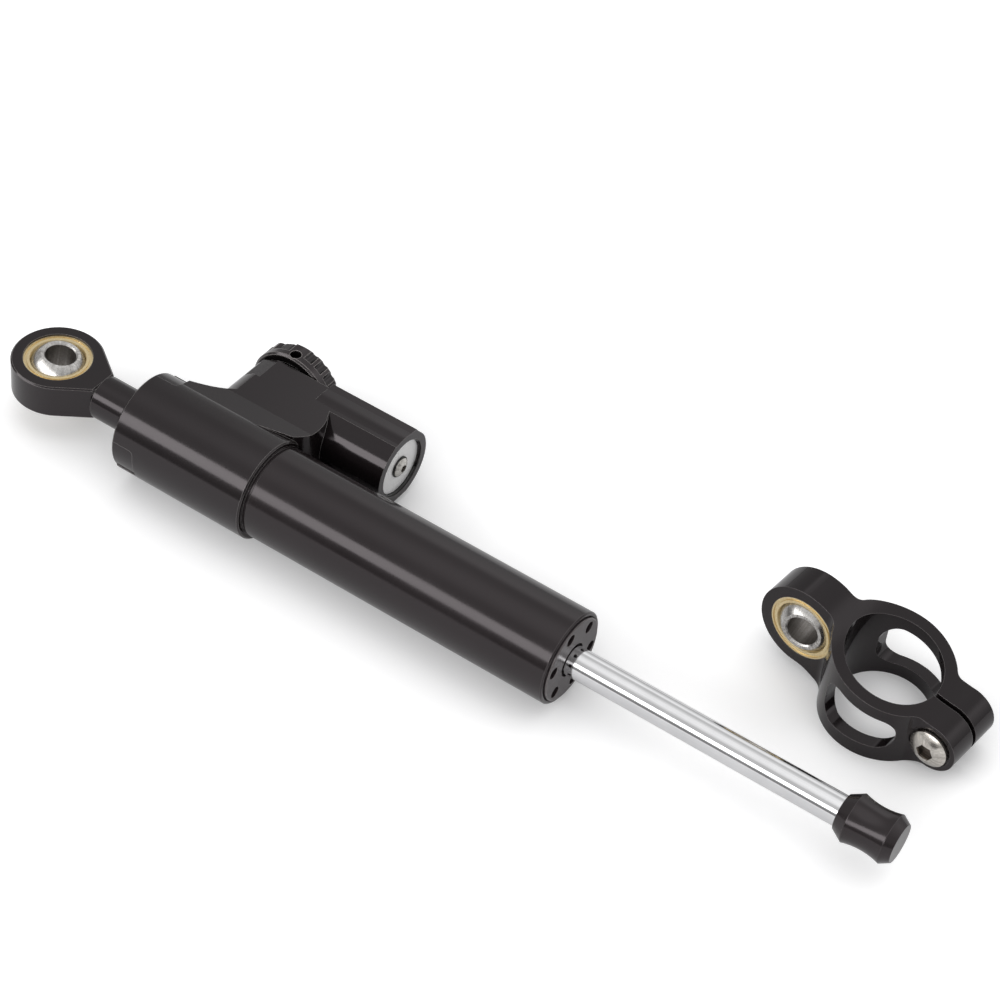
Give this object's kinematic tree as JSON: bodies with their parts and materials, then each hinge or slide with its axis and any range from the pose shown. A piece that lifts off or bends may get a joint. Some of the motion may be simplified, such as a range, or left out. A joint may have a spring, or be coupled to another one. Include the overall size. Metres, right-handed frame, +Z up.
{
  "type": "steering damper",
  "caption": "Linear steering damper: through rod with bearing eye, barrel with side reservoir and fluted adjuster knob, and a loose frame clamp.",
  "frame": {"origin": "centre of the ball in the rod's eye, at mid width", "axes": "+X along the damper from the eye to the bumper, +Z up from the surface it lies on, +Y towards the adjuster knob's side"},
  "size_m": [0.2624, 0.0731, 0.0274],
  "materials": {
    "black_anodised": "black anodised, glossy",
    "hard_chrome": "ground and hard chromed",
    "bearing_steel": "polished",
    "brass_race": "machined, pale brass",
    "plain_brass": "machined",
    "screw_steel": "stainless, tumbled",
    "dark_steel": "blackened",
    "clear_aluminium": "fine turned, clear anodised",
    "bush_bronze": "sintered bronze",
    "seal_rubber": "matt",
    "bumper_black": "black anodised, glossy",
    "washer_dark": "matt"
  },
  "bodies": {
    "damper_body": {"housing": "black_anodised", "barrel_tube": "black_anodised", "inner_tube": "clear_aluminium", "rod_gland": "black_anodised", "gland_bush": "bush_bronze", "gland_seal": "seal_rubber", "gland_wiper": "seal_rubber", "gland_o_ring": "seal_rubber", "housing_bush": "bush_bronze", "housing_seal": "seal_rubber", "housing_wiper": "seal_rubber", "tube_o_ring": "seal_rubber", "valve_seat": "plain_brass", "valve_bush": "clear_aluminium", "spindle_o_ring": "seal_rubber", "detent_ball": "bearing_steel", "detent_spring": "dark_steel", "reservoir_cap": "clear_aluminium", "cap_o_ring": "seal_rubber", "cap_circlip": "dark_steel", "bleed_screw": "screw_steel", "bleed_washer": "washer_dark"},
    "piston_group": {"piston": "clear_aluminium", "piston_band": "bush_bronze", "piston_o_ring": "seal_rubber"},
    "rod_group": {"rod": "hard_chrome", "rod_eye": "black_anodised", "eye_race": "brass_race", "rod_bumper": "bumper_black", "piston_clips": "dark_steel"},
    "eye_ball_group": {"eye_ball": "bearing_steel"},
    "adjuster": {"adjuster_knob": "black_anodised", "knob_screw": "dark_steel", "adjuster_spindle": "dark_steel"},
    "needle_group": {"needle": "dark_steel"},
    "separator": {"separator_piston": "clear_aluminium", "separator_o_ring": "seal_rubber"},
    "frame_clamp": {"clamp_body": "black_anodised", "clamp_race": "brass_race", "clamp_bolt": "screw_steel"},
    "clamp_ball_group": {"clamp_ball": "bearing_steel"}
  },
  "joints": [
    {"name": "rod_stroke", "type": "slide", "parent": "damper_body", "child": "piston_group", "axis": [-1, 0, 0], "range_m": [0, 0.074]},
    {"name": "rod_spin", "type": "hinge", "parent": "piston_group", "child": "rod_group", "pos_m": [0, 0, 0], "axis": [1, 0, 0], "continuous": true},
    {"name": "eye_ball_tilt", "type": "hinge", "parent": "rod_group", "child": "eye_ball_group", "pos_m": [0, 0, 0], "axis": [1, 0, 0], "range_deg": [-12, 12]},
    {"name": "knob_turn", "type": "hinge", "parent": "damper_body", "child": "adjuster", "pos_m": [0.0508, 0.03217, -0.00148], "axis": [0, 0.9989, -0.046], "range_deg": [0, 720]},
    {"name": "needle_lift", "type": "slide", "parent": "adjuster", "child": "needle_group", "axis": [0, 0.9989, -0.046], "range_m": [0, 0.0016]},
    {"name": "separator_slide", "type": "slide", "parent": "damper_body", "child": "separator", "axis": [1, 0, 0], "range_m": [-0.005, 0.005]},
    {"name": "clamp_lift", "type": "slide", "parent": "damper_body", "child": "frame_clamp", "axis": [0, 0, 1], "range_m": [0, 0.06]},
    {"name": "clamp_ball_tilt", "type": "hinge", "parent": "frame_clamp", "child": "clamp_ball_group", "pos_m": [0.2003, 0.0462, 0.00145], "axis": [0.9938, -0.1115, 0], "range_deg": [-12, 12]}
  ],
  "couplings": [
    {"joint": "needle_lift", "follows": "knob_turn", "m_per_rad": 0.00012732}
  ]
}
